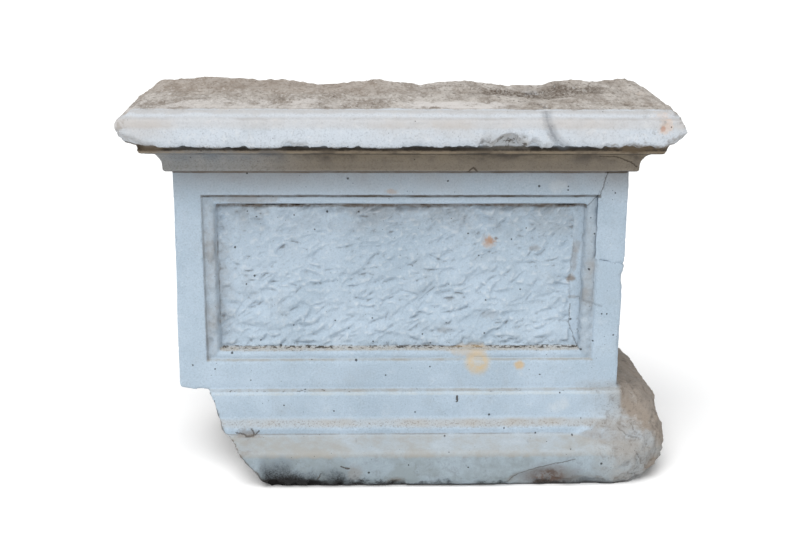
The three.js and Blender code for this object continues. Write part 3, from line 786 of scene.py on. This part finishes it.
def stains(p):
    # Rust, lichen and brown patches.
    p.lay(p.spot(116, 322, 13, 10, 1.1) * 0.45, (206, 164, 124))
    p.lay(p.spot(119, 325, 9, 7, 1.1) * 0.6, (184, 132, 84))
    p.lay(p.spot(126, 329, 4.5, 3.5, 1.1) * 0.7, (112, 84, 58))
    ring = p.spot(105, 157, 19, 19, 0.35)
    core = p.spot(105, 159, 10, 10, 0.5)
    p.lay((ring - core * 0.55) * (0.55 + p.ease(0.35, 0.6, p.fine) * 0.4), (220, 194, 148))
    p.lay(p.spot(92, 172, 30, 9, 1.0) * 0.4, (214, 188, 150))
    p.lay(p.spot(161, 154, 8.5, 7.5, 0.5) * 0.7, (224, 188, 130))
    p.lay(p.spot(326, 495, 12, 14, 1.3) * 0.45, (228, 194, 166))
    p.lay(p.spot(322, 491, 4, 4.5, 1.0) * 0.55, (186, 128, 96))
    p.lay(p.spot(-14, 396, 7, 4, 1.2) * 0.4, (186, 152, 118))
    p.lay(p.maximum(p.spot(205, 405, 14, 8), p.spot(217, 100, 12, 7)) * 0.22, (228, 232, 232))
    for cx, cz, rx, rz, much in (
        (235, 318, 5, 10, 0.3), (232, 298, 5, 14, 0.35), (229, 272, 6, 5, 0.7), (232, 246, 11, 2.5, 0.3),
        (178, 315, 12, 6, 0.35), (-205, 384, 40, 7, 0.4), (-207, 60, 20, 12, 0.5), (345, 22, 16, 18, 0.6),
        (-62, 20, 12, 14, 0.35), (-6, 10, 18, 9, 0.5), (60, 200, 12, 8, 0.25), (120, 220, 14, 8, 0.2),
    ):
        p.lay(p.spot(cx, cz, rx, rz) * much, (134, 114, 92))
    brown = p.spot(204, 13, 44, 22, 0.7)
    p.lay(brown * (0.5 + p.ease(0.42, 0.56, p.fine) * 0.45), (104, 84, 73))

    p.lay(p.spot(300, 463, 50, 8, 1.0) * 0.85, (104, 88, 68))
    p.lay(p.spot(-318, 461, 28, 8, 0.7) * 0.65, (110, 94, 74))

    # Black grime along the foot, heaviest at the left.
    smear = p.z + (p.patch - 0.5) * 60 + (p.fine - 0.5) * 34
    grime = None
    for cx, wide, high, much in (
        (-166, 27, 58, 1), (-136, 34, 36, 1), (-92, 24, 42, 0.95), (-40, 52, 17, 1), (20, 50, 8, 0.8),
        (60, 16, 14, 0.8), (120, 22, 15, 0.9), (204, 30, 12, 0.9), (262, 90, 11, 0.5),
    ):
        aside = p.math("ABSOLUTE", p.jx - cx) / wide
        heap = p.ease(high, high * 0.12, smear) * p.ease(1.1, 0.5, aside) * much
        grime = heap if grime is None else p.maximum(grime, heap)
    grime = grime * p.front * p.ease(60, 40, p.z)
    p.lay(grime * (0.72 + p.ease(0.6, 0.42, p.grain) * 0.28), (26, 24, 24))
    p.lay(p.ease(5, 0.5, p.z + (p.patch - 0.5) * 16) * 0.75, (60, 56, 54))
    solid = p.ease(19, 7, p.z + (p.patch - 0.5) * 34) * p.band(p.jx, -196, -74, 10) * p.front
    p.lay(solid * 0.9, (20, 18, 18))


def cracks(p):
    # Grey vein in the slab, streaks in the big chip, and the cracks.
    line = [(199, 519), (184, 516), (178, 508), (179, 498), (183, 487), (190, 476), (202, 466)]
    vein = p.maximum(p.crack(line, 3.4) * 0.75, p.crack(line, 9.5) * 0.5)
    p.lay(vein * (0.4 + p.ease(0.35, 0.6, p.patch) * 0.5), (118, 122, 128))
    streak = p.ease(0.5, 0.6, p.noise(p.place, 70.0, 3, 0.6, 1.5)) * p.spot(132, 470, 44, 15, 0.4)
    p.lay(p.spot(132, 470, 36, 14, 0.5) * 0.4, (150, 143, 132))
    p.lay(streak * 0.9, (92, 86, 78))
    fringe = p.band(p.z, SLAB_FOOT - 1, SLAB_FOOT + 5, 1.5, 7) * p.ease(-44, -50, p.y)
    p.lay(fringe * p.ease(0.46, 0.6, p.grain) * 0.6, (140, 130, 118))
    for points, width, much in (
        ([(260, 391), (252, 384), (244, 375)], 1.3, 0.5),
        ([(268.5, 424), (264, 408), (261, 392)], 1.3, 0.6),
        ([(253, 446), (275, 446.5), (283, 443), (295, 437.5), (303, 431)], 1.4, 0.8),
        ([(140, 3), (150, 13), (173, 26), (203, 34), (234, 40)], 1.25, 0.55),
        ([(229, 236), (229, 208), (235, 190), (241, 177)], 1.2, 0.5),
        ([(230, 330), (229, 300), (226, 270), (228, 244)], 1.6, 0.2),
        ([(240, 247), (255, 243), (268, 238)], 2.6, 0.22),
        ([(180, 518), (205, 521), (232, 522)], 1.2, 0.5),
        ([(-222, 66), (-206, 60), (-198, 62), (-201, 70)], 1.6, 0.7),
        ([(296, 74), (306, 66), (320, 63)], 1.3, 0.35),
        ([(-80, 33), (-70, 29)], 1.5, 0.85),
        ([(-113, 12), (-108, 22)], 1.2, 0.8),
        ([(-196, 63), (-191, 68)], 1.5, 0.7),
        ([(306, 133), (318, 127)], 1.4, 0.85),
        ([(76.5, 106), (77, 113)], 2.4, 0.95),
        ([(84, 424), (91, 430), (98, 424)], 1.8, 0.8),
    ):
        p.lay(p.crack(points, width) * much, (66, 56, 46))


def specks(p):
    # Dark specks where the photograph shows them, then finer ones scattered all over.
    for size, spots in SPECKS:
        p.lay(p.speckle(size, spots) * 0.85, (40, 36, 34))
    for scale, size, chosen, much in ((60.0, 0.07, 0.8, 0.85), (130.0, 0.1, 0.76, 0.6)):
        cell = p.node("ShaderNodeTexVoronoi", {"Vector": p.place, "Scale": scale, "Randomness": 1.0})
        pick = p.node("ShaderNodeSeparateColor", {"Color": Val(p, cell.outputs["Color"])})
        dot = p.ease(size, size * 0.6, Val(p, cell.outputs["Distance"]))
        dot = dot * p.math("GREATER_THAN", Val(p, pick.outputs[0]), chosen)
        p.lay(dot * much, (52, 46, 40))


def marble(name):
    mat = bpy.data.materials.new(name)
    mat.use_nodes = True
    tree = mat.node_tree
    net = Net(tree)
    shader = tree.nodes["Principled BSDF"]
    shader.inputs["Roughness"].default_value = 0.7
    shader.inputs["Specular IOR Level"].default_value = 0.22

    place = Val(net, net.node("ShaderNodeTexCoord").outputs["Object"])
    split = net.node("ShaderNodeSeparateXYZ", {"Vector": place})
    turn = Val(net, net.node("ShaderNodeNewGeometry").outputs["True Normal"])
    turn = net.node("ShaderNodeSeparateXYZ", {"Vector": turn})
    value = {
        "x": Val(net, split.outputs[0]) * 1000,
        "y": Val(net, split.outputs[1]) * 1000 + SHIFT,
        "z": Val(net, split.outputs[2]) * 1000,
        "up": Val(net, turn.outputs[2]),
        "hollow": Val(net, net.node("ShaderNodeAttribute", attribute_name="hollow").outputs["Fac"]),
        "broken": Val(net, net.node("ShaderNodeAttribute", attribute_name="broken").outputs["Fac"]),
        "cloud": net.noise(place, 9.0, 7, 0.6),
        "patch": net.noise(place, 26.0, 8, 0.68),
        "fine": net.noise(place, 95.0, 6, 0.7),
        "grain": net.noise(place, 430.0, 4, 0.75),
        "front": net.ease(0.15, 0.4, Val(net, turn.outputs[1]) * -1),
    }
    fine, grain, broken = value["fine"], value["grain"], value["broken"]
    value["jx"] = value["x"] + (fine - 0.5) * 9 + (grain - 0.5) * 3
    value["jz"] = value["z"] + (value["patch"] - 0.5) * 8 + (grain - 0.5) * 3

    colour = grey(196, 213, 229)
    for layers in (clean_stone_and_slab_light, settled_dirt_shade_and_highlight, panel_dirt_shade_and_highlight, broken_stone, stains, cracks, specks):
        p = Paint(layers.__name__)
        layers(p)
        group = net.node("ShaderNodeGroup", node_tree=p.done())
        for key, given in value.items():
            net.plug(group.inputs[key], given)
        net.plug(group.inputs["place"], place)
        net.plug(group.inputs["colour"], colour)
        colour = Val(net, group.outputs["colour"])
    tree.links.new(colour.socket, shader.inputs["Base Color"])
    top = net.ease(TOP - 16, TOP - 8, value["z"])
    height = fine * 0.9 + grain * 0.35 + (broken + top) * fine * 2.2
    bump = net.node("ShaderNodeBump", {"Strength": 0.45, "Distance": 0.0012, "Height": height})
    tree.links.new(bump.outputs["Normal"], shader.inputs["Normal"])
    return mat


stone_look = marble("weathered_marble")
for piece, node in ((block, "block"), (corner, "refixed_corner")):
    piece.data.materials.clear()
    piece.data.materials.append(stone_look)
    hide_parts(node)
    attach(piece, "root")


# ---------------------------------------------------------------- floor, light, camera

def plain(name, colour, rough):
    mat = bpy.data.materials.new(name)
    mat.use_nodes = True
    shader = mat.node_tree.nodes["Principled BSDF"]
    shader.inputs["Base Color"].default_value = colour
    shader.inputs["Roughness"].default_value = rough
    shader.inputs["Specular IOR Level"].default_value = 0.0
    return mat


# Half width of the floor in metres, then the light: strength of the studio round the stone,
# and the overcast sun's strength, spread and tilt in degrees.
FLOOR = 30
WORLD_STRENGTH = 0.52
SUN_STRENGTH, SUN_SPREAD, SUN_TILT = 2.75, 48, (27, -13)

ground = bpy.data.meshes.new("floor")
ground.from_pydata(
    [(-FLOOR, -FLOOR, 0), (FLOOR, -FLOOR, 0), (FLOOR, FLOOR, 0), (-FLOOR, FLOOR, 0)], [], [(0, 1, 2, 3)]
)
floor = bpy.data.objects.new("floor", ground)
bpy.context.scene.collection.objects.link(floor)
ground.materials.append(plain("pale_floor", (0.96, 0.96, 0.96, 1), 0.9))

world = bpy.data.worlds.new("studio")
world.use_nodes = True
world.node_tree.nodes["Background"].inputs["Color"].default_value = (1, 1, 1, 1)
world.node_tree.nodes["Background"].inputs["Strength"].default_value = WORLD_STRENGTH
bpy.context.scene.world = world

sky = bpy.data.lights.new("overcast", "SUN")
sky.energy = SUN_STRENGTH
sky.angle = math.radians(SUN_SPREAD)
lamp = bpy.data.objects.new("overcast", sky)
lamp.rotation_euler = (math.radians(SUN_TILT[0]), math.radians(SUN_TILT[1]), 0)
bpy.context.scene.collection.objects.link(lamp)

camera = bpy.data.cameras.new("photo")
camera.sensor_width, camera.lens = 36.0, 58.57
camera.clip_end = 100
eye = bpy.data.objects.new("photo", camera)
tilt, yaw, roll = 0.294607912, -0.0300269647, 0.00724761237
side = Vector((math.cos(yaw), math.sin(yaw), 0))
ahead = Vector((-math.sin(yaw), math.cos(yaw), 0))
look = ahead * math.cos(tilt) - Vector((0, 0, 1)) * math.sin(tilt)
top = Vector((0, 0, 1)) * math.cos(tilt) + ahead * math.sin(tilt)
right = side * math.cos(roll) + top * math.sin(roll)
top = top * math.cos(roll) - side * math.sin(roll)
turned = Matrix((right, top, -look)).transposed().to_4x4()
eye.matrix_world = Matrix.Translation((-0.05164, -1.718385, 0.793233)) @ turned
bpy.context.scene.collection.objects.link(eye)
bpy.context.scene.camera = eye
bpy.context.scene.view_settings.view_transform = "Standard"
